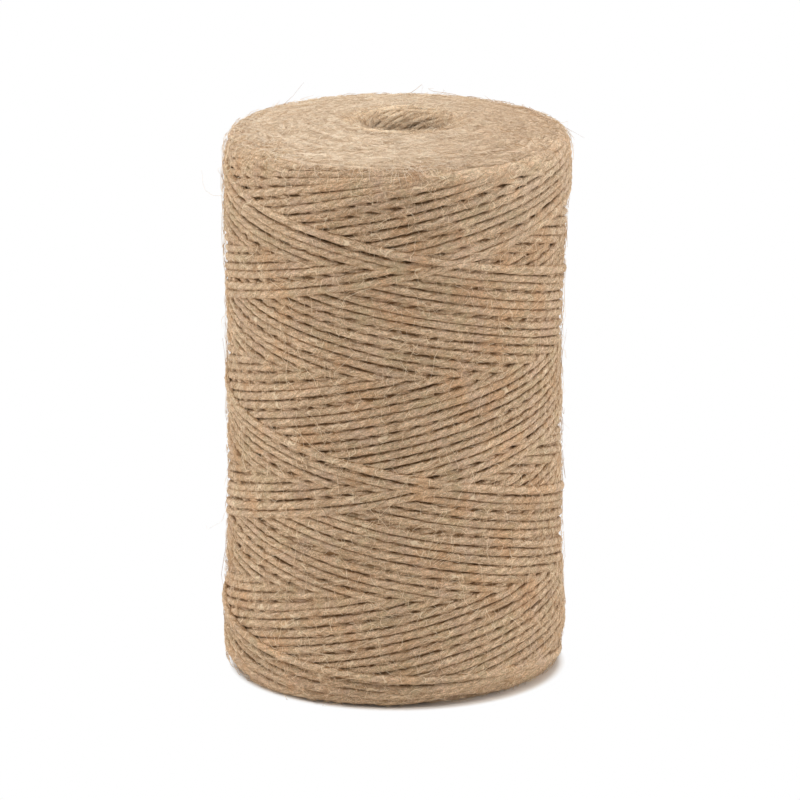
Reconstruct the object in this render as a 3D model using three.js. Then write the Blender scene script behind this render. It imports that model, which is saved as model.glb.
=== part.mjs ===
// A roll of jute twine, cross-wound on a spindle that has been drawn out, so that a hole runs through it.
// Millimetres, +Z up. The roll stands on the flat ring of its foot, and the origin is that ring's centre.
// The front faces -Y, and an angle round the roll is 0 at the front and grows towards +X.
import * as THREE from 'three';

// Driving dimensions
const rollHeight = 161.6; // from the foot to the lip round the hole
const footRadius = 46.4; // outer edge of the flat ring that the roll stands on
const footRounding = 4; // height of the rounded edge above that ring
const shoulderHeight = 150; // where the side ends and the rounded shoulder starts
const crownHeight = 158.2; // where the shoulder ends and the top face starts
const crownRadius = 44.4;
const crownBulge = 0.5; // how far the top face swells above a straight cone
const lipRadius = 15; // where the top face turns down into the hole
const lipDrop = 4.5; // height of that turn
const holeRadius = 11.7;
const holeUnevenness = 0.5; // the hole is a little out of round, and turns with its depth
const footLipRadius = 13.2; // the hole flares to this radius at the foot
const footLipRise = 3; // height of that flare

// The side between its rounded edges: a shallow waist under a fuller shoulder
const sideSections = [
  { height: footRounding, radius: 49.0 },
  { height: 14, radius: 49.2 },
  { height: 32, radius: 48.7 },
  { height: 56, radius: 48.2 },
  { height: 84, radius: 48.0 },
  { height: 108, radius: 48.2 },
  { height: 126, radius: 48.8 },
  { height: 140, radius: 49.4 },
  { height: shoulderHeight, radius: 49.6 },
];

// The winding: each layer of twine climbs and falls in steep turns, and the last turns lie on the older ones
const risePerTurn = 65;
const windingHeight = 66; // the height at which the two angles below are measured
const lastClimb = THREE.MathUtils.degToRad(24); // where the last rising turn crosses that height
const lastFall = THREE.MathUtils.degToRad(18); // where the last falling turn crosses it
const twistDepth = 1; // how far the newest turns of one slope stand above the oldest
const twistStep = 0.03; // width of the step beside the newest turn, as a share of a turn round the roll

// How finely the form is faceted
const columns = 60;
const footRows = 3;
const sideRows = 45;
const shoulderRows = 5;
const topRows = 4;
const lipRows = 3;
const holeRows = 9;

const fullTurn = 2 * Math.PI;
const share = (value) => value - Math.floor(value);

// Height of one family of turns: full just behind its newest turn, down to nothing where the oldest show
function layerHeight(age) {
  const worn = 1 - age;
  return age < twistStep ? worn * THREE.MathUtils.smoothstep(age, 0, twistStep) : worn;
}

// The main twists at one point of the side, above and below the mean radius
function twistRelief(angle, height) {
  const climbed = (fullTurn * (height - windingHeight)) / risePerTurn;
  const climbAge = share((lastClimb + climbed - angle) / fullTurn);
  const fallAge = share((lastFall - climbed - angle) / fullTurn);
  return twistDepth * (layerHeight(climbAge) + layerHeight(fallAge) - 1);
}

// Smooth radius of the side, from the sections above
const sideCurve = new THREE.CatmullRomCurve3(
  sideSections.map(({ height, radius }) => new THREE.Vector3(radius, 0, height)),
  false,
  'centripetal',
);

// One ring of the outline: its mean radius and height, how much of the twists and of the hole's shape it takes
const ring = (radius, height, twist, hollow = 0) => ({ radius, height, twist, hollow });

// Rings on a quarter of an ellipse from one point to another; it leaves the first point straight up or down
function quarterRings(from, to, rows, twistAt, hollowAt = () => 0) {
  return Array.from({ length: rows }, (_, row) => {
    const part = (row + 1) / rows;
    const turn = (part * Math.PI) / 2;
    const radius = to.radius + (from.radius - to.radius) * Math.cos(turn);
    const height = from.height + (to.height - from.height) * Math.sin(turn);
    return ring(radius, height, twistAt(part), hollowAt(part));
  });
}

function sideRings() {
  return Array.from({ length: sideRows - 1 }, (_, row) => {
    const point = sideCurve.getPointAt((row + 1) / sideRows);
    return ring(point.x, point.z, 1);
  });
}

// The top face, from the crown in to the lip of the hole, a little domed
function topRings(crown, lip, twist) {
  return Array.from({ length: topRows }, (_, row) => {
    const part = (row + 1) / topRows;
    const radius = THREE.MathUtils.lerp(crown.radius, lip.radius, part);
    const swell = crownBulge * Math.sin(Math.PI * part);
    const height = THREE.MathUtils.lerp(crown.height, lip.height, part) + swell;
    return ring(radius, height, twist * (1 - part));
  });
}

function holeRings(top, bottom) {
  return Array.from({ length: holeRows }, (_, row) => {
    const part = (row + 1) / holeRows;
    return ring(holeRadius, THREE.MathUtils.lerp(top, bottom, part), 0, 1);
  });
}

// The whole outline as rings: up the outside from the foot, over the top, and down the hole to the foot again
function outlineRings() {
  const foot = { radius: footRadius, height: 0 };
  const sideFoot = sideSections[0];
  const shoulder = sideSections[sideSections.length - 1];
  const crown = { radius: crownRadius, height: crownHeight };
  const lip = { radius: lipRadius, height: rollHeight };
  const throat = { radius: holeRadius, height: rollHeight - lipDrop };
  const crownTwist = 0.4;

  const footEdge = quarterRings(sideFoot, foot, footRows, (part) => 1 - part).reverse();
  const throatEdge = quarterRings(throat, lip, lipRows, () => 0, (part) => 1 - part).reverse();
  const footLip = { radius: footLipRadius, height: 0 };
  const holeFoot = { radius: holeRadius, height: footLipRise };
  return [
    ...footEdge,
    ring(sideFoot.radius, sideFoot.height, 1),
    ...sideRings(),
    ring(shoulder.radius, shoulder.height, 1),
    ...quarterRings(shoulder, crown, shoulderRows, (part) => 1 - (1 - crownTwist) * part),
    ...topRings(crown, lip, crownTwist),
    ...throatEdge.slice(1),
    ring(throat.radius, throat.height, 0, 1),
    ...holeRings(throat.height, footLipRise),
    ...quarterRings(holeFoot, footLip, 2, () => 0, (part) => 1 - part),
  ];
}

// Radius of a ring at one angle, with the twists of the side or the uneven shape of the hole
function ringRadius({ radius, height, twist, hollow }, angle) {
  const outOfRound = Math.sin(2 * angle + 1 + height / 40) + 0.4 * Math.sin(3 * angle - height / 25);
  return radius + twist * twistRelief(angle, height) + hollow * holeUnevenness * outOfRound;
}

// Closes the rings into one solid. The last ring joins the first, and that band is the flat foot.
function woundForm(rings) {
  const positions = [];
  for (const section of rings) {
    for (let column = 0; column < columns; column++) {
      const angle = (fullTurn * column) / columns;
      const radius = ringRadius(section, angle);
      positions.push(radius * Math.sin(angle), -radius * Math.cos(angle), section.height);
    }
  }
  const faces = [];
  for (let row = 0; row < rings.length; row++) {
    const nextRow = (row + 1) % rings.length;
    for (let column = 0; column < columns; column++) {
      const nextColumn = (column + 1) % columns;
      const [a, b] = [row * columns + column, row * columns + nextColumn];
      const [c, d] = [nextRow * columns + nextColumn, nextRow * columns + column];
      faces.push(a, b, c, a, c, d);
    }
  }
  const geometry = new THREE.BufferGeometry();
  geometry.setAttribute('position', new THREE.Float32BufferAttribute(positions, 3));
  geometry.setIndex(faces);
  geometry.computeVertexNormals();
  return geometry;
}

const jute = new THREE.MeshStandardMaterial({ color: 0xa98d70, roughness: 0.95, metalness: 0 });
const roll = new THREE.Mesh(woundForm(outlineRings()), jute);
roll.name = 'twine_roll';

const group = new THREE.Group();
group.add(roll);

export default group;
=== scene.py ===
import math

import bpy
import numpy as np
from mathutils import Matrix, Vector


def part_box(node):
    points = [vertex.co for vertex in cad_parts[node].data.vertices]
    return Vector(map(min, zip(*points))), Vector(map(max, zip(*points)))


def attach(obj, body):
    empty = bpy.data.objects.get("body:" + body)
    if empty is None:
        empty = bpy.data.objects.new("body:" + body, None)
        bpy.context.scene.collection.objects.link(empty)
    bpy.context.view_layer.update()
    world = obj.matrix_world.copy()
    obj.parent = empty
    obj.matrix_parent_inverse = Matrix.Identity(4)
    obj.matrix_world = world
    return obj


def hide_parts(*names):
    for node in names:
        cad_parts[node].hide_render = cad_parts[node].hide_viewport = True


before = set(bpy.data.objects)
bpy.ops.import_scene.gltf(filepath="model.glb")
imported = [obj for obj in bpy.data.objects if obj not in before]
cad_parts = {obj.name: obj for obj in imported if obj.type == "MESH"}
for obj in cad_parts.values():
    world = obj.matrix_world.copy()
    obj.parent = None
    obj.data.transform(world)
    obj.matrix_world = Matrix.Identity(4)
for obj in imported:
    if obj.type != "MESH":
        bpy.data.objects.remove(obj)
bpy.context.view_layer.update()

print("frame loaded")

mm = 0.001
turn = 2 * math.pi

# The roll's outline. Angles round it are 0 at the front (-Y) and grow towards +X.
_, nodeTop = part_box("twine_roll")
roll = {
    "height": nodeTop[2],
    "footRadius": 46.4 * mm,  # flat ring that the roll stands on
    "shoulderHeight": 153 * mm,
    "crownHeight": 158.4 * mm,
    "crownRadius": 45.2 * mm,
    "crownBulge": 0.5 * mm,
    "lipRadius": 17.2 * mm,  # the top turns down into the hole here
    "lipDrop": 6.6 * mm,
    "holeRadius": 12.5 * mm,
    "footLipRadius": 13.2 * mm,  # the hole flares to this at the foot
    "footLipRise": 3 * mm,
    "side": [  # height and radius, up the side
        (4 * mm, 49.0 * mm), (14 * mm, 49.2 * mm), (32 * mm, 48.7 * mm), (56 * mm, 48.2 * mm),
        (84 * mm, 48.0 * mm), (108 * mm, 48.2 * mm), (126 * mm, 48.8 * mm), (140 * mm, 49.4 * mm),
        (153 * mm, 49.7 * mm),
    ],
    "lean": [(0, 0), (110 * mm, 0), (135 * mm, 0.2 * mm), (156 * mm, 1.1 * mm)],  # height, shift to +X
    "tuckedFoot": 2.2 * mm,  # the foot's edge is drawn in by this on its right-hand side
    "tuckedAt": (1.3, 48 * mm, 16 * mm),  # the angle and radius of that, and the height where it ends
    "holeShift": (1.6 * mm, -1.4 * mm),  # the mouth of the hole lies off the middle by this, in X and Y
    "shiftRadii": (15 * mm, 40 * mm),  # all of the shift within the first, none past the second
    "shiftHeights": (90 * mm, 150 * mm),  # none of it below the first, all above the second
}

# The twine itself, shared by every turn
twine = {
    "width": 2.49 * mm,
    "flatness": 0.86,  # a strand's thickness as a share of its width
    "level": 1.25 * mm,  # how far below the outline the middle of a strand lies
    "plies": 3,
    "plyDepth": 0.062,  # height of the plies as a share of the strand's radius
    "layLength": 14.5 * mm,  # one full twist of the plies
    "sides": 7,
    "thickening": 0.10,  # random swelling along the twine
    "swellSteps": (30, 9),  # steps from one slow swelling to the next, and from one quick one
    "swellLimits": (0.75, 1.3),  # least and most of its usual width
    "roughness": 0.12,  # unevenness of its surface, as a share of its radius
}


class Wire:  # one socket, on which sums can be written
    def __init__(self, desk, socket):
        self.desk = desk
        self.socket = socket

    def join(self, operation, *others):
        return self.desk.add("ShaderNodeMath", {"operation": operation}, dict(enumerate(others)))

    def __add__(self, other):
        return self.join("ADD", self, other)

    def __radd__(self, other):
        return self.join("ADD", other, self)

    def __sub__(self, other):
        return self.join("SUBTRACT", self, other)

    def __rsub__(self, other):
        return self.join("SUBTRACT", other, self)

    def __mul__(self, other):
        return self.join("MULTIPLY", self, other)

    def __rmul__(self, other):
        return self.join("MULTIPLY", other, self)

    def __truediv__(self, other):
        return self.join("DIVIDE", self, other)

    def __rtruediv__(self, other):
        return self.join("DIVIDE", other, self)

    def cosine(self):
        return self.join("COSINE", self)

    def sine(self):
        return self.join("SINE", self)

    def angleFrom(self, other):  # angle of the point (other, self)
        return self.join("ARCTAN2", self, other)

    def size(self):
        return self.join("ABSOLUTE", self)

    def atLeast(self, other):
        return self.join("MAXIMUM", self, other)

    def between(self, low, high, start=0.0, end=1.0):  # smooth step from low to high
        settings = {"interpolation_type": "SMOOTHSTEP"}
        sockets = {"Value": self, "From Min": low, "From Max": high, "To Min": start, "To Max": end}
        return self.desk.add("ShaderNodeMapRange", settings, sockets)


class Desk:  # one node tree being built
    def __init__(self, tree):
        self.tree = tree

    def add(self, kind, settings=None, sockets=None, out=0):
        node = self.tree.nodes.new(kind)
        for name, value in (settings or {}).items():
            setattr(node, name, value)
        for key, value in (sockets or {}).items():
            socket = node.inputs[key] if isinstance(key, int) else self.find(node.inputs, key)
            if isinstance(value, Wire):
                self.tree.links.new(value.socket, socket)
            elif value is not None:
                socket.default_value = value
        if not node.outputs:
            return None
        if isinstance(out, str):
            return Wire(self, self.find(node.outputs, out))
        return Wire(self, [socket for socket in node.outputs if socket.enabled][out])

    def find(self, sockets, name):  # the enabled socket of that name, where a node has several
        return next(s for s in sockets if s.enabled and name in (s.name, s.identifier))

    def mixColour(self, factor, first, second, blend="MIX"):
        settings = {"data_type": "RGBA", "blend_type": blend}
        first = first if isinstance(first, Wire) else (*first, 1)
        second = second if isinstance(second, Wire) else (*second, 1)
        return self.add("ShaderNodeMix", settings, {"Factor": factor, "A": first, "B": second})

    def vector(self, operation, *others, out=0):
        return self.add("ShaderNodeVectorMath", {"operation": operation}, dict(enumerate(others)), out)

    def scaled(self, vector, scale):
        return self.add("ShaderNodeVectorMath", {"operation": "SCALE"}, {"Vector": vector, "Scale": scale})

    def shaded(self, colour, shade):
        return self.mixColour(1.0, colour, self.stack(shade, shade, shade), "MULTIPLY")

    def stack(self, x, y, z):
        return self.add("ShaderNodeCombineXYZ", None, {"X": x, "Y": y, "Z": z})

    def parts(self, vector):
        whole = self.add("ShaderNodeSeparateXYZ", None, {"Vector": vector})
        return [Wire(self, socket) for socket in whole.socket.node.outputs]

    def noise(self, at, scale, detail=2.0, roughness=0.5, out=0):
        sockets = {"Vector": at, "Scale": scale, "Detail": detail, "Roughness": roughness}
        return self.add("ShaderNodeTexNoise", None, sockets, out)

    def attribute(self, name, out="Fac"):  # in a material
        return self.add("ShaderNodeAttribute", {"attribute_name": name}, None, out)

    def carried(self, name, dataType="FLOAT"):  # in a geometry tree
        return self.add("GeometryNodeInputNamedAttribute", {"data_type": dataType}, {"Name": name})

    def keep(self, geometry, name, value, dataType="FLOAT"):
        settings = {"data_type": dataType, "domain": "POINT"}
        sockets = {"Geometry": geometry, "Name": name, "Value": value}
        return self.add("GeometryNodeStoreNamedAttribute", settings, sockets)

    def endTree(self, geometry, material):  # one plain mesh, smooth and in its material
        geometry = self.add("GeometryNodeSetShadeSmooth", None, {"Geometry": geometry, "Shade Smooth": True})
        geometry = self.add("GeometryNodeRealizeInstances", None, {"Geometry": geometry})
        geometry = self.add("GeometryNodeSetMaterial", None, {"Geometry": geometry, "Material": material})
        self.add("NodeGroupOutput", None, {0: geometry})


def newMaterial(name):
    material = bpy.data.materials.new(name)
    material.use_nodes = True
    material.node_tree.nodes.clear()
    return material, Desk(material.node_tree)


def plainSurface(desk, sockets):
    shader = desk.add("ShaderNodeBsdfPrincipled", None, sockets)
    desk.add("ShaderNodeOutputMaterial", None, {"Surface": shader})


def newGeometryTree(name, inputs):  # its inputs by name, with their usual values
    tree = bpy.data.node_groups.new(name, "GeometryNodeTree")
    tree.interface.new_socket("Geometry", in_out="INPUT", socket_type="NodeSocketGeometry")
    tree.interface.new_socket("Geometry", in_out="OUTPUT", socket_type="NodeSocketGeometry")
    tree.interface.new_socket("Material", in_out="INPUT", socket_type="NodeSocketMaterial")
    for label, value in inputs.items():
        kind = "NodeSocketInt" if isinstance(value, int) else "NodeSocketFloat"
        tree.interface.new_socket(label, in_out="INPUT", socket_type=kind).default_value = value
    desk = Desk(tree)
    start = tree.nodes.new("NodeGroupInput")
    given = {socket.name: Wire(desk, socket) for socket in start.outputs if socket.name}
    return tree, desk, given


def placed(name, data):  # a new object in the scene
    thing = bpy.data.objects.new(name, data)
    bpy.context.collection.objects.link(thing)
    return thing


def blankMesh(name, points, values, edges=()):  # points to build on, with what a tree reads from them
    mesh = bpy.data.meshes.new(name)
    mesh.vertices.add(len(points))
    mesh.vertices.foreach_set("co", points.astype(np.float32).ravel())
    if len(edges):
        mesh.edges.add(len(edges))
        mesh.edges.foreach_set("vertices", np.ravel(edges))
    for key, value in values.items():
        kind, field = ("FLOAT", "value") if value.ndim == 1 else ("FLOAT_VECTOR", "vector")
        attribute = mesh.attributes.new(key, kind, "POINT")
        attribute.data.foreach_set(field, value.astype(np.float32).ravel())
    mesh.update()
    return placed(name, mesh)


def trianglesOf(mesh):
    corners = np.zeros(len(mesh.polygons), np.int32)
    mesh.polygons.foreach_get("loop_total", corners)
    return int((corners - 2).sum())


def restOnFloor(mesh, clearance=0.1 * mm):  # what would reach below the floor is pressed flat
    points = np.zeros(len(mesh.vertices) * 3, np.float32)
    mesh.vertices.foreach_get("co", points)
    points[2::3] = np.maximum(points[2::3], clearance)
    mesh.vertices.foreach_set("co", points)
    mesh.update()


def makePiece(name, blank, tree, values):  # runs the tree on a blank and keeps the result as a plain mesh
    modifier = blank.modifiers.new(tree.name, "NODES")
    modifier.node_group = tree
    for item in tree.interface.items_tree:
        if item.item_type == "SOCKET" and item.in_out == "INPUT" and item.name in values:
            modifier[item.identifier] = values[item.name]
    graph = bpy.context.evaluated_depsgraph_get()
    mesh = bpy.data.meshes.new_from_object(blank.evaluated_get(graph), depsgraph=graph)
    blank.modifiers.remove(modifier)
    bpy.data.objects.remove(blank)
    mesh.name = name
    restOnFloor(mesh)
    piece = placed(name, mesh)
    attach(piece, "root")
    print(name, "triangles:", trianglesOf(mesh))


def quarterArc(start, end, count):  # leaves the first point straight up or down
    angle = np.linspace(0, math.pi / 2, count)
    radius = end[0] + (start[0] - end[0]) * np.cos(angle)
    height = start[1] + (end[1] - start[1]) * np.sin(angle)
    return np.stack([radius, height], 1)


def smoothThrough(points, count):  # Catmull-Rom through a short list of points
    points = np.array([points[0], *points, points[-1]], float)
    step = np.linspace(0, len(points) - 3, count)
    index = np.minimum(step.astype(int), len(points) - 4)
    t = (step - index)[:, None]
    a, b, c, d = (points[index + i] for i in range(4))
    bend = (2 * a - 5 * b + 4 * c - d) * t**2 + (3 * b - a - 3 * c + d) * t**3
    return 0.5 * (2 * b + (c - a) * t + bend)


def smoothed(values, weights):  # running mean that keeps the ends
    padded = np.pad(values, len(weights) // 2, mode="edge")
    return np.convolve(padded, weights / weights.sum(), "valid")


class Outline:  # a half section as a curve of its own length, with the solid on its left
    samples = 1600
    rounding = 31  # samples over which a corner between two stretches is rounded

    def __init__(self, points):
        steps = np.linalg.norm(np.diff(points, axis=0), axis=1)
        length = np.concatenate([[0], np.cumsum(steps)])
        self.length = np.linspace(0, length[-1], self.samples)
        self.radius = np.interp(self.length, length, points[:, 0])
        self.height = np.interp(self.length, length, points[:, 1])
        along = np.stack([np.gradient(self.radius), np.gradient(self.height)], 1)
        along = np.stack([smoothed(part, np.hanning(self.rounding)) for part in along.T], 1)
        along /= np.linalg.norm(along, axis=1)[:, None]
        self.outR = along[:, 1]
        self.outZ = -along[:, 0]
        swing = np.stack([np.gradient(self.outR), np.gradient(self.outZ)], 1)
        self.bend = np.linalg.norm(swing, axis=1) / np.gradient(self.length)

    def at(self, length):
        values = (self.radius, self.height, self.outR, self.outZ)
        return [np.interp(length, self.length, value) for value in values]

    def place(self, angle, length, lift):  # points and outward directions
        radius, height, outR, outZ = self.at(length)
        across = np.stack([np.sin(angle), -np.cos(angle), np.zeros_like(angle)], 1)
        heights, shifts = np.array(roll["lean"]).T
        tuckAngle, tuckRadius, tuckHeight = roll["tuckedAt"]
        low = np.clip(1 - height / tuckHeight, 0, 1) * np.clip(radius / tuckRadius, 0, 1) ** 4
        tucked = roll["tuckedFoot"] * low**2 * (0.5 + 0.5 * np.cos(angle - tuckAngle)) ** 2
        points = across * (radius + lift * outR - tucked)[:, None]
        nearMouth = np.interp(height, roll["shiftHeights"], (0, 1))
        nearMouth = nearMouth * np.interp(radius, roll["shiftRadii"], (1, 0))
        points[:, :2] += np.outer(nearMouth, roll["holeShift"])
        points[:, 0] += np.interp(height, heights, shifts)
        points[:, 2] = height + lift * outZ
        outward = across * outR[:, None]
        outward[:, 2] = outZ
        return points, outward


def outsideOutline():  # from the foot's flat ring up the side and over the top to the lip
    side = [(radius, height) for height, radius in roll["side"]]
    foot = quarterArc(side[0], (roll["footRadius"], 0), 40)[::-1]
    shoulder = quarterArc(side[-1], (roll["crownRadius"], roll["crownHeight"]), 60)
    part = np.linspace(0, 1, 120)
    radius = roll["crownRadius"] + (roll["lipRadius"] - roll["crownRadius"]) * part
    rise = roll["crownHeight"] + (roll["height"] - roll["crownHeight"]) * part
    top = np.stack([radius, rise + roll["crownBulge"] * np.sin(math.pi * part)], 1)
    points = [foot[:-1], smoothThrough(side, 600)[:-1], shoulder[:-1], top]
    return Outline(np.concatenate(points))


def holeOutline():  # from the lip down the wall to the foot
    throat = (roll["holeRadius"], roll["height"] - roll["lipDrop"])
    lip = quarterArc(throat, (roll["lipRadius"], roll["height"]), 30)[::-1]
    wall = np.linspace(throat, (roll["holeRadius"], roll["footLipRise"]), 60)
    foot = quarterArc(wall[-1], (roll["footLipRadius"], 0), 20)
    return Outline(np.concatenate([lip[:-1], wall[:-1], foot]))


def undersideOutline():  # the flat ring of the foot, from the hole out
    return Outline(np.linspace((roll["footLipRadius"], 0), (roll["footRadius"], 0), 60))


def wander(rng, count, spacing):  # smooth random numbers of about unit size
    knots = rng.standard_normal(int(count / spacing) + 5)
    at = np.arange(count) / spacing + 1
    low = at.astype(int)
    t = at - low
    t = t * t * (3 - 2 * t)
    return knots[low] * (1 - t) + knots[low + 1] * t


outside = outsideOutline()
inside = holeOutline()
underside = undersideOutline()
print("outlines ready")

winding = {
    "risePerTurn": 65 * mm,
    "markHeight": 66 * mm,  # the two angles below are measured here
    "lastClimb": math.radians(24),
    "lastFall": math.radians(18),
    "strandsPerCover": 24.1,  # strands of one slope, side by side, that cover the roll once
    "strokes": 50,  # how many times the twine rises and falls, enough to cover the roll twice
    "lowTurn": (1.8 * mm, 8.0 * mm),  # where the falls turn back, up the outline from the foot
    "lastLow": 9.8 * mm,  # the same for the last one, after which the twine runs on and down
    "lastProud": [(25 * mm, 1.15 * mm), (50 * mm, 1.05 * mm)],  # height of the last turns, up the outline
    "proudUpTo": (135 * mm, 150 * mm),  # they sink in among the others between these
    "lastThicker": 0.08,  # by this share of their width
    "highTurn": (85.5 * mm, 94.5 * mm),  # where the rises turn back, up the outline from the mark
    "overCrown": (78 * mm, 18.0),  # past this above the mark, the turns spread out over the crown
    "tail": 2.9,  # angle by which the twine runs on after its last fall, before it is tucked in
    "tailFall": [(0, 1), (0.3, 0.93), (0.65, 0.76), (1.2, 0.5), (2, 0.3)],  # angle, height as a share
    "stepAngle": 0.0205,
    "wobble": 0.15 * mm,
    "wobbleSteps": 22,  # steps along the twine from one bend of that to the next
    "sink": 0.16 * mm,  # how far a strand beds into the layer below
    "showing": 0.12 * mm,  # a strand still shows when it lies this far below the top
    "relief": 0.95 * mm,  # most that the surface rises and falls about its mean
    "edgeRelief": 0.42 * mm,  # the same at the crown and the foot
    "seed": 7,
}

topFace = {
    "span": (0.4 * mm, 44 * mm),  # from the lip out, over the crown, arcs of the inner layers fill this
    "pitch": 1.75 * mm,
    "reach": (1.7, 3.0),  # angle that one arc spans
    "spread": (2.5 * mm, 7 * mm),  # how far its ends swing out, under the next layer
    "jitter": 0.35 * mm,
    "step": 0.95 * mm,
    "overlap": 1.25,
    "relief": 0.15 * mm,
    "seed": 11,
}

footFace = {
    "span": (1.8 * mm, 32 * mm),  # from the hole out
    "pitch": 2.2 * mm,
    "reach": (2.2, 3.2),
    "spread": (2 * mm, 5 * mm),
    "jitter": 0.35 * mm,
    "step": 0.95 * mm,
    "overlap": 1.1,
    "relief": 0.3 * mm,
    "sides": 6,
    "seed": 12,
}

bore = {
    "strands": 31,
    "sides": 6,
    "size": 0.70,  # the first turns are drawn tight, and so are thinner
    "slope": 42 * mm,  # rise for each turn round the hole
    "bend": 1.5 * mm,  # how gently the turns come back down, under the lip
    "apex": (-0.8 * mm, 2.6 * mm),  # where they do, down from the lip
    "lead": 0.1,  # angle that a strand runs on past its apex
    "relief": 0.5 * mm,
    "uneven": 0.5 * mm,  # the hole is a little out of round
    "seed": 13,
}


def windTwine(rng):  # the whole path, oldest turns first: angle, length up the outline, stroke number
    slope = winding["risePerTurn"] / turn
    upTheSide = outside.height < roll["shoulderHeight"]
    mark = float(np.interp(winding["markHeight"], outside.height[upTheSide], outside.length[upTheSide]))
    gain = turn / winding["strandsPerCover"]
    lead = winding["lastClimb"] - winding["lastFall"]
    highSpan = (3 * turn - lead) / 2 * slope  # up to where a rise, run on straight, meets its fall
    lowSpan = (2 * turn + lead + gain) / 2 * slope
    count = winding["strokes"]
    lows = rng.uniform(*winding["lowTurn"], count + 1)
    lows[count] = winding["lastLow"]
    highs = mark + rng.uniform(*winding["highTurn"], count + 1)
    highs = smoothed(highs, np.ones(5))  # neighbours turn back at much the same height

    def lengthOf(fromLow, low, fromHigh, high):  # straight, with a round turn near each apex
        lowBend = lowSpan - (mark - low)
        highBend = highSpan - (high - mark)
        length = low - lowBend + fromLow * slope
        roundLow = low + (fromLow * slope) ** 2 / (4 * lowBend)
        roundHigh = high - (fromHigh * slope) ** 2 / (4 * highBend)
        length = np.where(fromLow * slope < 2 * lowBend, roundLow, length)
        return np.where(fromHigh * slope < 2 * highBend, roundHigh, length)

    paths = []
    span = (highSpan + lowSpan) / slope
    begin = winding["lastClimb"] - (count - 1) * gain - lowSpan / slope
    for stroke in range(2 * count + 1):
        pair, falling = divmod(stroke, 2)
        reach = winding["tail"] if stroke == 2 * count else span
        angle = np.arange(0, reach, winding["stepAngle"])
        if falling:
            length = lengthOf(span - angle, lows[pair + 1], angle, highs[pair])
        elif stroke == 2 * count:
            length = lows[pair] * np.interp(angle, *np.array(winding["tailFall"]).T)
        else:
            length = lengthOf(angle, lows[pair], span - angle, highs[pair])
        start, spread = winding["overCrown"]
        length = length + spread * np.maximum(length - mark - start, 0) ** 2
        paths.append((begin + angle, length))
        begin += span
    return paths


def turnBacks(form, outline, rng):  # arcs where the inner layers turned back, innermost first
    paths = []
    outwards = outline.radius[-1] > outline.radius[0]
    for distance in np.arange(*form["span"], form["pitch"]):
        middle = distance if outwards else outline.length[-1] - distance
        radius = outline.at(middle)[0]
        begin = rng.uniform(0, turn)
        done = 0
        while done < turn:
            reach = rng.uniform(*form["reach"])
            angle = np.arange(0, reach, form["step"] / radius)
            part = 2 * angle / reach - 1
            drift = rng.uniform(*form["spread"]) * part**2 + rng.normal(0, form["jitter"])
            paths.append((begin + done + angle, middle + (drift if outwards else -drift)))
            done += reach / form["overlap"]
    return paths


def joinPaths(paths):
    angle = np.concatenate([path[0] for path in paths])
    length = np.concatenate([path[1] for path in paths])
    stroke = np.concatenate([np.full(len(path[0]), number) for number, path in enumerate(paths)])
    return angle, length, stroke


class Relief:  # how high the laid twine stands, on a grid over an outline
    cell = 0.65 * mm
    columns = 290  # a little wider than a step along the twine, so that it misses none
    margin = 4 * mm  # at both ends of the outline

    def __init__(self, outline):
        self.low = -self.margin
        self.rows = int((outline.length[-1] - self.low) / self.cell) + 8
        self.tops = np.zeros((self.rows, self.columns))

    def cells(self, angle, length):
        column = np.floor(angle / turn * self.columns).astype(int) % self.columns
        row = np.rint((length - self.low) / self.cell).astype(int)
        return np.clip(row, 0, self.rows - 1), column

    def evened(self, length, reach=9):  # mean height of the finished surface, at these lengths
        mean = smoothed(self.tops.mean(axis=1), np.hanning(reach + 2)[1:-1])
        return np.interp(length, self.low + self.cell * np.arange(self.rows), mean)


def layTwine(relief, angle, length, stroke, width):  # lifts each stroke on to what lies there already
    lift = np.zeros(len(angle))
    bed = np.linspace(-0.5, 0.5, 5) * twine["width"]
    spread = np.linspace(-0.97, 0.97, 9)
    blur = np.hanning(13)[1:-1]  # a strand bends over about this many steps
    blur /= blur.sum()
    near = 2  # the highest point within this many steps holds it up
    for number in range(stroke.max() + 1):
        here = np.flatnonzero(stroke == number)
        at, up, half = angle[here], length[here], width[here] / 2
        beneath = np.mean([relief.tops[relief.cells(at, up + b)] for b in bed], axis=0)
        padded = np.pad(beneath, near + len(blur) // 2, mode="edge")
        count = len(padded) - 2 * near
        taut = np.max([padded[i: i + count] for i in range(2 * near + 1)], axis=0)
        centre = 0.5 * (np.convolve(taut, blur, "valid") + beneath) - winding["sink"]
        lift[here] = centre
        for s in spread:
            top = centre + twine["flatness"] * half * math.sqrt(1 - s * s)
            np.maximum.at(relief.tops, relief.cells(at, up + s * half), top)
    return lift


def seenShare(relief, angle, length, lift, width):  # share of a strand's width that lies on top
    seen = np.zeros(len(angle))
    places = np.linspace(-0.85, 0.85, 7)
    for s in places:
        top = lift + twine["flatness"] * width / 2 * math.sqrt(1 - s * s)
        seen += top >= relief.tops[relief.cells(angle, length + s * width / 2)] - winding["showing"]
    return seen / len(places)


def runsOf(keep, stroke, reach, shortest):  # stretches to keep, a little longer at both ends
    wide = np.convolve(keep, np.ones(2 * reach + 1), "same") > 0
    edges = np.flatnonzero(np.diff(np.concatenate([[0], wide.astype(int), [0]])))
    breaks = np.flatnonzero(np.diff(stroke)) + 1
    runs = []
    for start, end in zip(edges[::2], edges[1::2]):
        cuts = [start, *breaks[(breaks > start) & (breaks < end)], end]
        runs += [(a, b) for a, b in zip(cuts, cuts[1:]) if b - a >= shortest]
    return runs


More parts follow.
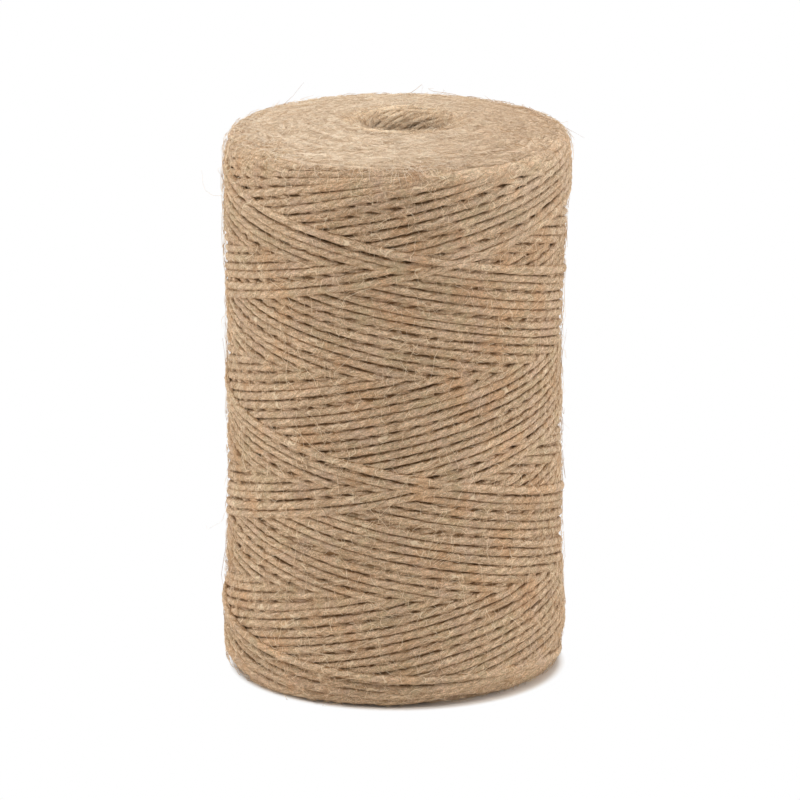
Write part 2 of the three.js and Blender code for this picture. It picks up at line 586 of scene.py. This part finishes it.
def laidStrands(outline, paths, joined, rng, form):  # visible stretches of all these paths
    angle, length, stroke = joinPaths(paths)
    count = len(angle)
    length = length + winding["wobble"] * wander(rng, count, winding["wobbleSteps"])
    length = length + winding["wobble"] * rng.standard_normal(stroke.max() + 1)[stroke]
    length = np.maximum(length, form["lowest"])
    slow, quick = [wander(rng, count, steps) for steps in twine["swellSteps"]]
    swell = np.clip(1 + twine["thickening"] * (0.6 * slow + 0.4 * quick), *twine["swellLimits"])
    newest = stroke >= max(stroke.max() - 1, joined)
    width = twine["width"] * form.get("size", 1) * swell * (1 + winding["lastThicker"] * newest)
    relief = Relief(outline)
    lift = layTwine(relief, angle, length, stroke, width)
    seen = seenShare(relief, angle, length, lift, width)
    places, most = np.array(form["relief"]).T
    most = np.interp(length, places, most)
    lift = most * np.tanh((lift - relief.evened(length) + twine["level"]) / most) - twine["level"]
    if "proud" in form:  # the newest turns lie on all the others, at an even height
        raised = newest * np.interp(length, winding["proudUpTo"], (1, 0))
        proud = np.interp(length, *np.array(form["proud"]).T)
        lift = lift + raised * (proud - twine["level"] - lift)
    if "uneven" in form:
        height = np.interp(length, outline.length, outline.height)
        oval = np.sin(2 * angle + 1 + height / (40 * mm))
        dents = np.sin(3 * angle - height / (25 * mm))
        lift = lift - form["uneven"] * (oval + 0.4 * dents)
    points, outward = outline.place(angle, length, lift)
    points[:, 2] = np.maximum(points[:, 2], 0.45 * width)  # none lies below the floor
    along = np.concatenate([[0], np.cumsum(np.linalg.norm(np.diff(points, axis=0), axis=1))])
    unbroken = np.where(stroke < joined, stroke, joined)  # the last paths are one twine
    runs = []
    for a, b in runsOf(seen > form["leastSeen"], unbroken, reach=4, shortest=8):
        pick = np.unique(np.append(np.arange(a, b, form["thin"]), b - 1))
        run = {"points": points, "outward": outward, "along": along, "width": width}
        run = {key: values[pick] for key, values in run.items()}
        run["stroke"] = stroke[a]
        runs.append(run)
    return runs


def outsideStrands():
    rng = np.random.default_rng(topFace["seed"])
    arcs = turnBacks(topFace, outside, rng)
    rng = np.random.default_rng(winding["seed"])
    edge, side, crown = winding["edgeRelief"], winding["relief"], topFace["relief"]
    form = {
        "lowest": 0.9 * mm,
        "relief": [(0, edge), (12 * mm, side), (144 * mm, side), (156 * mm, edge), (163 * mm, crown)],
        "leastSeen": 0.13,
        "thin": 1,
        "proud": winding["lastProud"],
    }
    runs = laidStrands(outside, arcs + windTwine(rng), len(arcs), rng, form)
    inner = [run for run in runs if run["stroke"] < len(arcs)]
    return inner, [run for run in runs if run["stroke"] >= len(arcs)]


def footStrands():
    rng = np.random.default_rng(footFace["seed"])
    arcs = turnBacks(footFace, underside, rng)
    form = {"lowest": 0, "relief": [(0, footFace["relief"])], "leastSeen": 0.3, "thin": 3}
    return laidStrands(underside, arcs, len(arcs), rng, form)


def boreStrands():  # rising turns in the hole, which turn back one over the other under the lip
    rng = np.random.default_rng(bore["seed"])
    slope = bore["slope"] / turn
    bend = bore["bend"]
    paths = []
    for number in range(bore["strands"]):
        apex = rng.uniform(*bore["apex"])
        reach = (inside.length[-1] - apex + bend) / slope
        angle = np.arange(-bore["lead"], reach, winding["stepAngle"])
        bent = apex + (angle * slope) ** 2 / (4 * bend)
        straight = apex - bend + angle * slope
        length = np.where(angle * slope < 2 * bend, bent, straight)
        start = turn * (number + rng.uniform(-0.2, 0.2)) / bore["strands"]
        paths.append((start + angle, length))
    form = {
        "lowest": 0, "relief": [(0, bore["relief"])], "leastSeen": 0.2, "thin": 5,
        "uneven": bore["uneven"], "size": bore["size"],
    }
    return laidStrands(inside, paths, len(paths), rng, form)


def strandTree():  # sweeps a flattened, plied section along each path
    tree, desk, given = newGeometryTree("plied strand", {
        "Sides": twine["sides"],
        "Flatness": twine["flatness"],
        "Plies": float(twine["plies"]),
        "Ply Depth": twine["plyDepth"],
        "Lay Length": twine["layLength"],
        "Roughness": twine["roughness"],
        "Seed": 0.0,
    })
    outward = desk.carried("outward", "FLOAT_VECTOR")
    curve = desk.add("GeometryNodeMeshToCurve", None, {"Mesh": given["Geometry"]})
    curve = desk.add("GeometryNodeSetCurveNormal", {"mode": "FREE"}, {"Curve": curve, "Normal": outward})
    curve = desk.keep(curve, "centre", desk.add("GeometryNodeInputPosition"), "FLOAT_VECTOR")

    index = desk.add("GeometryNodeInputIndex")
    even = index * turn / given["Sides"]
    angle = even - 0.35 * even.sine()  # more corners on the side that shows
    section = desk.stack(angle.cosine(), angle.sine(), 0.0)
    ring = desk.add("GeometryNodeCurvePrimitiveCircle", None, {"Resolution": given["Sides"], "Radius": 1.0})
    ring = desk.add("GeometryNodeSetPosition", None, {"Geometry": ring, "Position": section})
    ring = desk.keep(ring, "section", section, "FLOAT_VECTOR")

    radius = desk.carried("width") * 0.5
    sockets = {"Curve": curve, "Profile Curve": ring, "Scale": radius, "Fill Caps": True}
    body = desk.add("GeometryNodeCurveToMesh", None, sockets)

    position = desk.add("GeometryNodeInputPosition")
    centre = desk.carried("centre", "FLOAT_VECTOR")
    spoke = desk.vector("SUBTRACT", position, centre)
    height = desk.vector("DOT_PRODUCT", spoke, outward, out="Value")
    spoke = desk.vector("SUBTRACT", spoke, desk.scaled(outward, height * (1 - given["Flatness"])))
    x, y, _ = desk.parts(desk.carried("section", "FLOAT_VECTOR"))
    twisted = y.angleFrom(x) + desk.carried("along") * turn / given["Lay Length"]
    lobes = (twisted * given["Plies"]).cosine() * given["Ply Depth"]
    grain = desk.noise(desk.vector("ADD", position, desk.stack(given["Seed"], 0.0, 0.0)), 900.0, 1.0)
    size = 1 + lobes + (grain - 0.5) * 2 * given["Roughness"]
    moved = desk.vector("ADD", centre, desk.scaled(spoke, size))
    body = desk.add("GeometryNodeSetPosition", None, {"Geometry": body, "Position": moved})
    desk.endTree(body, given["Material"])
    return tree


def pathMesh(name, runs):  # edges along every run, with what the sweep needs on their points
    points = np.concatenate([run["points"] for run in runs])
    ends = np.cumsum([len(run["points"]) for run in runs])
    first = np.arange(len(points) - 1)
    first = first[~np.isin(first, ends - 1)]
    values = {key: np.concatenate([run[key] for run in runs]) for key in ("along", "width", "outward")}
    return blankMesh(name, points, values, np.stack([first, first + 1], 1))


def sweepStrands(name, runs, sides, material, tree):
    makePiece(name, pathMesh(name, runs), tree, {"Sides": sides, "Material": material})


def sharedOut(runs, sides, most):  # lists of runs, none with more triangles than that
    lists, used = [[]], 0
    for run in runs:
        cost = 2 * sides * len(run["points"])
        if used + cost > most:
            lists.append([])
            used = 0
        lists[-1].append(run)
        used += cost
    return lists


juteLook = {
    "pale": (0.775, 0.575, 0.388),
    "mean": (0.605, 0.420, 0.260),
    # deep: dark fibres, and also the painted shade in the grooves between the plies
    "deep": (0.295, 0.160, 0.072),
    "tints": [  # colour, scale and shift of its patches, where they start and are full, most of it
        ((0.540, 0.430, 0.250), 150.0, (1.0, 4.0, 7.0), (0.50, 0.66), 0.40),  # olive
        ((0.640, 0.450, 0.320), 130.0, (5.0, 2.0, 1.0), (0.50, 0.66), 0.55),  # pink
        ((0.640, 0.380, 0.200), 95.0, (0.0, 0.0, 0.0), (0.50, 0.68), 0.60),  # orange
    ],
    "hair": (0.900, 0.730, 0.510),
    "hairs": [(26, 260.0, 1.1), (20, -520.0, 2.3), (34, -90.0, 3.7)],  # lines round the roll, slant, shift
    "hairBend": 9.0,  # how far they wander
    "hairWidth": 0.065,
    "hairAmount": 0.75,
    "gapShadeColour": (0.250, 0.122, 0.033),  # painted shade on the sides of the strands, deep between two of them
    "paleGapShade": (0.760, 0.600, 0.430),  # the same painted shade, paler where the twine is pale on the top
    "paleFrom": (157.2 * mm, 158.7 * mm),  # heights over which the twine turns paler: dry, bleached and felted, with painted light from above
    "topShadeAcross": (-10 * mm, 45 * mm, 0.76, 0.25),  # less so towards +X, where shade is painted on the top
    "wornAcross": (5 * mm, 34 * mm),  # it is rubbed towards +X
    "wornUp": (120 * mm, 142 * mm),  # and up
    "wornPale": 0.14,
    "wornFoot": (2 * mm, 11 * mm, 0.35, 1.0),  # height, and how dark the painted gap shade is there
    "fibreScale": 4.6,
    "fibreLength": 0.085,  # a streak's width against its length
    "fibreTwist": 0.3,  # fibres lie straighter than the plies do
    "sheen": 0.12,
    "bump": (0.7, 0.25 * mm),  # strength and distance
}

topLook = {
    "bleachAndLight": (0.860, 0.715, 0.545),
    "amount": 1.0,
    "lint": 1.0,
    "reach": 0.0,  # how far the pale part, bleached and painted light, comes down
}

holeLook = {
    # the pale colour here is painted light: the walls are painted paler down the hole
    "bleachAndLight": (1.000, 0.800, 0.565),
    "amount": 1.2,
    "lint": 1.5,
    "reach": 5 * mm,
    "shadeAndDust": 0.45,  # darker patches: painted shade, with dust
    "shadeAndDustFrom": (160 * mm, 156.5 * mm),  # stronger down the wall, where more shade is painted
}


def hairLines(desk, place, angle, count, slant, shift):  # thin wavy lines that cross from turn to turn
    at = desk.vector("ADD", place, (shift, 2 * shift, 3 * shift))
    bend = (desk.noise(at, 150.0, 1.0, 0.5) - 0.5) * juteLook["hairBend"]
    _, _, height = desk.parts(place)
    phase = angle * float(count) + height * slant + bend
    breaks = desk.noise(desk.vector("ADD", at, (3.0, 1.0, 2.0)), 170.0, 1.0, 0.5)
    width = juteLook["hairWidth"]
    return (phase * 0.5).sine().size().between(width, width * 0.4) * breaks.between(0.50, 0.56)


def crossedHairs(desk, place, angle):  # those of every slant
    hairs, *others = [hairLines(desk, place, angle, *hair) for hair in juteLook["hairs"]]
    for other in others:
        hairs = hairs.atLeast(other)
    return hairs


def streaks(desk, x, y, around, along, run):  # fibres that follow the twine, straighter than its plies
    stray = desk.noise(desk.stack(x, y, run * 0.4), 1.1, 1.0, 0.5)
    twisted = around + along * (juteLook["fibreTwist"] * turn / twine["layLength"]) + (stray - 0.5) * 1.6
    at = desk.stack(twisted.cosine(), twisted.sine(), run * juteLook["fibreLength"])
    return desk.noise(at, juteLook["fibreScale"], 4.0, 0.75)


def tintedFibres(desk, fibres, place):  # their colour, with patches of other tints
    colour = desk.mixColour(fibres.between(0.44, 0.58), juteLook["mean"], juteLook["pale"])
    colour = desk.mixColour(fibres.between(0.48, 0.34, 0.0, 0.85), colour, juteLook["deep"])
    for tint, scale, shift, (start, full), most in juteLook["tints"]:
        tinted = desk.noise(desk.vector("ADD", place, shift), scale, 3.0, 0.6)
        colour = desk.mixColour(tinted.between(start, full, 0.0, most), colour, tint)
    return colour


def juteMaterial(name, look):
    material, desk = newMaterial(name)
    x, y, _ = desk.parts(desk.attribute("section", "Vector"))
    along = desk.attribute("along")
    place = desk.add("ShaderNodeTexCoord", None, None, "Object")
    xAt, yAt, zAt = desk.parts(place)
    around = y.angleFrom(x)
    lobes = ((around + along * (turn / twine["layLength"])) * float(twine["plies"])).cosine()
    run = along / (0.5 * twine["width"])
    fibres = streaks(desk, x, y, around, along, run)
    tufts = desk.noise(desk.stack(x * 1.6, y * 1.6, run * 0.5), 1.8, 3.0, 0.6)
    patches = desk.noise(desk.stack(along * 45.0, 0.0, 3.0), 1.0, 2.0, 0.5)

    colour = tintedFibres(desk, fibres, place)
    shade = patches.between(0.25, 0.75, 0.88, 1.08) * tufts.between(0.3, 0.7, 0.80, 1.14)
    colour = desk.shaded(colour, shade)

    uneven = (desk.noise(place, 70.0, 1.0, 0.5) - 0.5) * 4 * mm + xAt * 0.01
    # pale on the top: felted, bleached fibres with painted light from above; reach carries this down the
    # hole as painted light
    mattedAndLit = (zAt + uneven + look["reach"]).between(*juteLook["paleFrom"], 0.0, look["amount"])
    # painted shade in the grooves between the plies
    grooveShade = lobes.between(-0.35, -1.0, 0.0, 0.3) * (1 - mattedAndLit * 0.6)
    colour = desk.mixColour(grooveShade, colour, juteLook["deep"])
    worn = xAt.between(*juteLook["wornAcross"]) * zAt.between(*juteLook["wornUp"])
    # less of the pale colour towards +X: painted shade on that side of the top
    paleShare = mattedAndLit * xAt.between(*juteLook["topShadeAcross"])
    colour = desk.mixColour(paleShare.atLeast(worn * juteLook["wornPale"]), colour, look["bleachAndLight"])
    lint = desk.noise(place, 2500.0, 3.0, 0.65)
    shade = lint.between(0.32, 0.68, -0.25 * look["lint"], 0.22 * look["lint"])
    shade = shade * (1 - mattedAndLit * 0.5) + 1
    colour = desk.shaded(colour, shade)
    clumps = desk.noise(place, 1000.0, 2.0, 0.6)
    # painted shade on the sides of each strand, where it dips between its neighbours, made ragged by clumps
    # and lint
    ragged = x + lobes * 0.16 + (clumps - 0.5) * 0.6 + (fibres - 0.5) * 0.6
    ragged = ragged + (lint - 0.5) * (0.7 + 0.8 * mattedAndLit)
    across = desk.noise(desk.stack(along * 1300.0 + y * 2.2, x * 0.9, 7.0), 1.0, 2.0, 0.6)
    shadeBetweenStrands = ragged.between(0.74, 0.26) * tufts.between(0.30, 0.62, 1.0, 0.72)
    felt = desk.noise(place, 40.0, 2.0, 0.5).between(0.42, 0.62, 1.05, 0.6)  # rubbed places
    shadeBetweenStrands = shadeBetweenStrands * felt * across.between(0.45, 0.57, 1.0, 0.35)
    shadeBetweenStrands = shadeBetweenStrands * zAt.between(*juteLook["wornFoot"]) * (1 - worn * 0.7)
    gapShadeColour = desk.mixColour(mattedAndLit, juteLook["gapShadeColour"], juteLook["paleGapShade"])
    colour = desk.mixColour(shadeBetweenStrands, colour, gapShadeColour)
    # painted shade and dust in patches, down in the hole
    if "shadeAndDust" in look:
        shadeAndDust = desk.noise(place, 420.0, 3.0, 0.6).between(0.46, 0.60) * zAt.between(*look["shadeAndDustFrom"])
        colour = desk.mixColour(shadeAndDust * look["shadeAndDust"], colour, juteLook["gapShadeColour"])

    hairs = crossedHairs(desk, place, yAt.angleFrom(xAt)) * (1 - mattedAndLit)
    colour = desk.mixColour(hairs * juteLook["hairAmount"], colour, juteLook["hair"])

    height = lobes * 0.4 + fibres * 2.0 + tufts + hairs * 0.5
    strength, distance = juteLook["bump"]
    normal = desk.add("ShaderNodeBump", None, {"Strength": strength, "Distance": distance, "Height": height})
    sockets = {
        "Base Color": colour, "Roughness": fibres.between(0.3, 0.7, 0.94, 0.86), "Normal": normal,
        "Sheen Weight": juteLook["sheen"], "Sheen Roughness": 0.5, "Sheen Tint": (0.95, 0.70, 0.45, 1),
    }
    plainSurface(desk, sockets)
    return material


core = {
    "depth": [  # up the outline, how far below it the core lies
        (130 * mm, 1.5 * mm), (146 * mm, 1.8 * mm), (160 * mm, 1.8 * mm), (169 * mm, 1.0 * mm),
    ],
    "boreDepth": 1.2 * mm,
    "clearance": 1.6 * mm,  # above the floor
    "rings": (60, 14),  # outside and in the hole
    "ends": (3 * mm, 2 * mm),  # how far from both ends of the outline the outside rings stay
    "boreEnds": (3 * mm, 3 * mm),
    "columns": 80,
    # dark: painted shade where the inner turns show between the outer ones
    "shaded": ((0.270, 0.150, 0.066), (0.400, 0.245, 0.125)),
    "mattedAndLit": ((0.520, 0.370, 0.235), (0.780, 0.610, 0.430)),
    "paleFrom": (149 * mm, 159 * mm),
}


def coreMaterial():  # turns that lie under the outer ones: dark with painted shade on the side, and paler on the top, where light is painted
    material, desk = newMaterial("inner turns")
    place = desk.add("ShaderNodeTexCoord", None, None, "Object")
    _, _, height = desk.parts(place)
    grain = desk.noise(place, 600.0, 3.0, 0.6).between(0.35, 0.65)
    colour = desk.mixColour(grain, *core["shaded"])
    mattedAndLit = desk.mixColour(grain, *core["mattedAndLit"])
    colour = desk.mixColour(height.between(*core["paleFrom"]), colour, mattedAndLit)
    plainSurface(desk, {"Base Color": colour, "Roughness": 0.95})
    return material


def makeCore(material):  # the solid body of inner turns, closed, with the hole through it
    rise = np.linspace(core["ends"][0], outside.length[-1] - core["ends"][1], core["rings"][0])
    drop = np.linspace(core["boreEnds"][0], inside.length[-1] - core["boreEnds"][1], core["rings"][1])
    depths = np.interp(rise, *np.array(core["depth"]).T)
    rings = [(outside, length, depth) for length, depth in zip(rise, depths)]
    rings += [(inside, length, core["boreDepth"]) for length in drop]
    rows, columns = len(rings), core["columns"]
    angle = turn * np.arange(columns) / columns
    level = np.ones(columns)
    points = [outline.place(angle, length * level, -depth * level)[0] for outline, length, depth in rings]
    points = np.concatenate(points)
    points[:, 2] = np.maximum(points[:, 2], core["clearance"])
    faces = []
    for row in range(rows):
        for column in range(columns):
            a = row * columns + column
            b = row * columns + (column + 1) % columns
            onward = (row + 1) % rows * columns
            faces.append((a, b, onward + (column + 1) % columns, onward + column))
    mesh = bpy.data.meshes.new("core")
    mesh.from_pydata(points.tolist(), [], faces)
    mesh.polygons.foreach_set("use_smooth", np.ones(len(faces), bool))
    mesh.materials.append(material)
    mesh.update()
    piece = placed("core", mesh)
    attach(piece, "root")
    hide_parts("twine_roll")


jute = juteMaterial("jute", topLook)
holeJute = juteMaterial("jute in the hole", holeLook)
strands = strandTree()
makeCore(coreMaterial())
print("core ready")
trianglesPerPiece = 185000
innerTurns, outerTurns = outsideStrands()
for number, runs in enumerate(sharedOut(outerTurns, twine["sides"], trianglesPerPiece), 1):
    sweepStrands("winding_%d" % number, runs, twine["sides"], jute, strands)
sweepStrands("top_turns", innerTurns, twine["sides"], jute, strands)
sweepStrands("hole_turns", boreStrands(), bore["sides"], holeJute, strands)
sweepStrands("foot_turns", footStrands(), footFace["sides"], jute, strands)

fibreSeed = 21
fibreTones = {  # dull, mean and pale
    "loose fibre": ((0.480, 0.290, 0.150), (0.780, 0.580, 0.370), (0.930, 0.760, 0.540)),
    # paler and less saturated on the top: felted fuzz, with painted light from above
    "lit matted fibre": ((0.670, 0.500, 0.340), (0.800, 0.640, 0.470), (0.910, 0.790, 0.630)),
    # raised tones: painted light down the hole
    "fibre in the hole": ((0.600, 0.415, 0.260), (0.910, 0.715, 0.500), (0.960, 0.840, 0.660)),
}
fibreShade = {"across": (0.0, 45 * mm, 0.0, 0.4), "up": (150 * mm, 158 * mm)}  # painted shade at the top, towards +X

# Each kind grows on a stretch of the outline, up from the foot, or down from the lip in the hole. Rise says
# how steeply it stands off, hug how much of its curl stays in the surface, and depth how high its root lies.
fibres = {
    "fuzz": {  # short fibres all over the side
        "count": 10000, "corners": 3, "radius": 0.078 * mm, "length": (1.2 * mm, 4.0 * mm),
        "rise": (0.0, 0.22), "curl": 0.35, "hug": 0.7,
        "from": (9 * mm, 164 * mm), "depth": (-0.3 * mm, 0.45 * mm),
    },
    "loose": {  # longer ones that lie across the turns
        "count": 1050, "corners": 7, "radius": 0.080 * mm, "length": (4 * mm, 14 * mm),
        "rise": (0.01, 0.08), "curl": 0.60, "hug": 0.9,
        "from": (8 * mm, 175 * mm), "depth": (0.1 * mm, 0.6 * mm),
    },
    "mat": {  # felted fibres that cover the top
        "count": 10700, "corners": 3, "radius": 0.080 * mm, "length": (1.5 * mm, 5.5 * mm),
        "rise": (-0.05, 0.15), "curl": 0.35, "hug": 0.7,
        "from": (159 * mm, 192 * mm), "depth": (-0.4 * mm, 0.3 * mm), "material": "lit matted fibre",
    },
    "stray": {  # a few that stand up
        "count": 50, "corners": 9, "radius": 0.050 * mm, "length": (2.5 * mm, 6.0 * mm),
        "rise": (0.35, 1.0), "curl": 0.7, "hug": 0.0,
        "from": (1 * mm, 185 * mm), "depth": (-0.3 * mm, 0.3 * mm),
    },
    "curls": {  # long curled ones near the foot
        "count": 16, "corners": 16, "radius": 0.060 * mm, "length": (8 * mm, 15 * mm),
        "rise": (0.03, 0.12), "curl": 1.0, "hug": 0.8,
        "from": (1.5 * mm, 11 * mm), "depth": (0.5 * mm, 1.0 * mm), "round": (-0.9, -0.1),
    },
    "foot": {  # the rubbed edge that the roll stands on
        "count": 1700, "corners": 3, "radius": 0.072 * mm, "length": (1.5 * mm, 4.5 * mm),
        "rise": (0.0, 0.08), "curl": 0.40, "hug": 0.9,
        "from": (1.5 * mm, 15 * mm), "depth": (0.0 * mm, 0.5 * mm),
    },
    "bore": {  # over the lip and into the hole
        "count": 2500, "corners": 3, "radius": 0.070 * mm, "length": (2.0 * mm, 5.5 * mm),
        "rise": (0.0, 0.40), "curl": 0.35, "hug": 0.5,
        "from": (0 * mm, 12 * mm), "depth": (-0.3 * mm, 0.5 * mm), "material": "fibre in the hole",
    },
}


def fibreTree():  # one tapered fibre on each root, bent and curled
    tree, desk, given = newGeometryTree("loose fibres", {
        "Corners": 3,
        "Radius": 0.08 * mm,
        "Curl": 0.35,
        "Hug": 0.7,
        "Seed": float(fibreSeed),
    })
    index = desk.add("GeometryNodeInputIndex")
    part = index / (given["Corners"] - 1)
    straight = desk.stack(part, 0.0, 0.0)
    stem = desk.add("GeometryNodeMeshLine", None, {"Count": given["Corners"]})
    stem = desk.add("GeometryNodeSetPosition", None, {"Geometry": stem, "Position": straight})
    stem = desk.keep(stem, "part", part)
    stem = desk.add("GeometryNodeMeshToCurve", None, {"Mesh": stem})
    ring = desk.add("GeometryNodeCurvePrimitiveCircle", None, {"Resolution": 3, "Radius": 1.0})
    reached = desk.carried("part")
    taper = 1 - 0.8 * (reached * reached)
    sockets = {"Curve": stem, "Profile Curve": ring, "Scale": taper, "Fill Caps": True}
    stem = desk.add("GeometryNodeCurveToMesh", None, sockets)

    lie = desk.carried("lie", "FLOAT_VECTOR")
    up = desk.carried("up", "FLOAT_VECTOR")
    size = desk.carried("size")
    settings = {"primary_axis": "X", "secondary_axis": "Z"}
    facing = desk.add("FunctionNodeAxesToRotation", settings, {"Primary Axis": lie, "Secondary Axis": up})
    scale = desk.stack(size, given["Radius"], given["Radius"])
    cloud = desk.add("GeometryNodeMeshToPoints", None, {"Mesh": given["Geometry"]})
    sockets = {"Points": cloud, "Instance": stem, "Rotation": facing, "Scale": scale}
    spread = desk.add("GeometryNodeInstanceOnPoints", None, sockets)
    spread = desk.add("GeometryNodeRealizeInstances", None, {"Geometry": spread})

    part = desk.carried("part")
    arch = part * (1.6 - part) * desk.carried("rise") - part * part * desk.carried("sag")
    whim = desk.carried("whim") + given["Seed"]
    drift = desk.noise(desk.stack(part * 1.3, whim, whim * 0.37), 1.0, 1.0, 0.5, "Color")
    drift = desk.vector("SUBTRACT", drift, (0.5, 0.5, 0.5))
    lifted = desk.vector("DOT_PRODUCT", drift, up, out="Value") * given["Hug"]
    drift = desk.vector("SUBTRACT", drift, desk.scaled(up, lifted))
    curl = desk.scaled(drift, part * given["Curl"] * 5.0)
    bend = desk.scaled(desk.vector("ADD", desk.scaled(up, arch), curl), size)
    spread = desk.add("GeometryNodeSetPosition", None, {"Geometry": spread, "Offset": bend})
    desk.endTree(spread, given["Material"])
    return tree


def fibreRoots(name, form, outline, rng):
    count = form["count"]
    start, end = form["from"]
    places = np.linspace(start, min(end, outline.length[-1]), 400)
    weight = np.interp(places, outline.length, outline.radius)  # even over the surface
    length = rng.choice(places, count, p=weight / weight.sum())
    length = length + rng.uniform(0, 0.5 * mm, count)  # between those places too
    angle = rng.uniform(*form.get("round", (0, turn)), count)
    points, up = outline.place(angle, length, rng.uniform(*form["depth"], count))
    side = np.stack([np.cos(angle), np.sin(angle), np.zeros(count)], 1)
    climb = np.cross(up, side)
    way = rng.uniform(0, turn, count)
    around = np.linalg.norm(up[:, :2], axis=1) / np.linalg.norm(points[:, :2], axis=1)
    ahead = np.arange(-8, 9, 2)[:, None] * mm
    over = np.interp(length + ahead, outline.length, outline.bend).max(axis=0)  # sharpest bend within reach
    bend = around * np.cos(way) ** 2 + over * np.sin(way) ** 2  # of the surface, along the fibre
    size = np.minimum(rng.uniform(*form["length"], count), 0.8 / bend)  # shorter where it bends sharply
    values = {
        "size": size,
        "sag": size / 2 * bend,
        "rise": rng.uniform(*form["rise"], count),
        "whim": rng.uniform(0, 400, count),
        "lie": side * np.cos(way)[:, None] + climb * np.sin(way)[:, None],
        "up": up,
    }
    return blankMesh(name, points, values)


def fibreMaterial(name, dull, mean, pale):  # each fibre has its own tint
    material, desk = newMaterial(name)
    x, _, z = desk.parts(desk.add("ShaderNodeTexCoord", None, None, "Object"))
    own = (desk.attribute("whim") * 97.0).sine() * 0.5 + 0.5
    # painted shade: the fibres are darker at the top, towards +X
    own = own - x.between(*fibreShade["across"]) * z.between(*fibreShade["up"])
    colour = desk.mixColour(own.between(0.0, 0.5), dull, mean)
    colour = desk.mixColour(own.between(0.5, 1.0), colour, pale)
    plainSurface(desk, {"Base Color": colour, "Roughness": 0.8})
    return material


def growFibres(name, form, outline, rng, material, tree):
    values = {
        "Corners": form["corners"], "Radius": form["radius"], "Curl": form["curl"],
        "Hug": form["hug"], "Material": material,
    }
    makePiece(name, fibreRoots(name, form, outline, rng), tree, values)


fibreMaterials = {name: fibreMaterial(name, *tones) for name, tones in fibreTones.items()}
growth = fibreTree()
rng = np.random.default_rng(fibreSeed)
for kind, form in fibres.items():
    material = fibreMaterials[form.get("material", "loose fibre")]
    outline = inside if kind == "bore" else outside
    growFibres(kind + "_fibres", form, outline, rng, material, growth)

studio = {
    "world": 0.350,
    "lamps": {  # place, what it points at, width and height, watts
        "overhead": ((0, -0.12, 1.3), (0, 0, 0.1), (1.3, 1.3), 15.6),
        "left": ((-1.3, 0.0, 0.35), (0, 0, 0.08), (0.7, 0.9), 8.0),
        "right": ((1.3, 0.0, 0.35), (0, 0, 0.08), (0.7, 0.9), 7.4),
    },
    "floorSize": 3,
    "floorColour": (0.91, 0.88, 0.84, 1),
    "shadeMiddle": (0.8 * mm, -1.5 * mm, 0.0),
    "shadeRadii": (46.5 * mm, 49.5 * mm),  # the floor shows its shade up to here, then turns white
    "elevation": math.radians(15.3),
    "distance": 2.0,
    "target": (1.6 * mm, 0, 78.2 * mm),
    "lens": 311.4,
}


def seenPlainly(desk):  # 1 for what the camera sees, also in a glossy or clear surface
    paths = desk.add("ShaderNodeLightPath").socket.node.outputs
    names = ("Is Camera Ray", "Is Glossy Ray", "Is Transmission Ray")
    straight, glossy, clear = [Wire(desk, paths[name]) for name in names]
    return straight.atLeast(glossy).atLeast(clear)


def makeFloor():
    material, desk = newMaterial("pale floor")
    place = desk.add("ShaderNodeTexCoord", None, None, "Object")
    away = desk.vector("LENGTH", desk.vector("SUBTRACT", place, studio["shadeMiddle"]), out="Value")
    plain = seenPlainly(desk) * away.between(*studio["shadeRadii"])
    matt = desk.add("ShaderNodeBsdfDiffuse", None, {"Color": studio["floorColour"]})
    white = desk.add("ShaderNodeEmission", None, {"Color": (1, 1, 1, 1), "Strength": 1.0})
    mixed = desk.add("ShaderNodeMixShader", None, {0: plain, 1: matt, 2: white})
    desk.add("ShaderNodeOutputMaterial", None, {"Surface": mixed})
    mesh = bpy.data.meshes.new("floor")
    far = studio["floorSize"]
    mesh.from_pydata([(-far, -far, 0), (far, -far, 0), (far, far, 0), (-far, far, 0)], [], [(0, 1, 2, 3)])
    mesh.materials.append(material)
    floor = placed("floor", mesh)


def makeWorld():
    world = bpy.data.worlds.new("studio")
    world.use_nodes = True
    world.node_tree.nodes.clear()
    desk = Desk(world.node_tree)
    plain = seenPlainly(desk)
    light = desk.add("ShaderNodeBackground", None, {"Color": (1, 1, 1, 1), "Strength": studio["world"]})
    white = desk.add("ShaderNodeBackground", None, {"Color": (1, 1, 1, 1), "Strength": 1.0})
    mixed = desk.add("ShaderNodeMixShader", None, {0: plain, 1: light, 2: white})
    desk.add("ShaderNodeOutputWorld", None, {"Surface": mixed})
    bpy.context.scene.world = world


def makeLamp(name, position, target, size, watts):
    lamp = bpy.data.lights.new(name, "AREA")
    lamp.shape = "RECTANGLE"
    lamp.size, lamp.size_y = size
    lamp.energy = watts
    holder = placed(name, lamp)
    holder.location = position
    holder.rotation_euler = (Vector(target) - Vector(position)).to_track_quat("-Z", "Y").to_euler()


makeFloor()
makeWorld()
for name, (position, target, size, watts) in studio["lamps"].items():
    makeLamp(name, position, target, size, watts)

lens = bpy.data.cameras.new("camera")
lens.lens = studio["lens"]
lens.sensor_width = 36
camera = placed("camera", lens)
back = Vector((0, -math.cos(studio["elevation"]), math.sin(studio["elevation"])))
camera.location = Vector(studio["target"]) + studio["distance"] * back
camera.rotation_euler = back.to_track_quat("Z", "Y").to_euler()
bpy.context.scene.camera = camera
bpy.context.scene.view_settings.view_transform = "Standard"
print("studio ready")
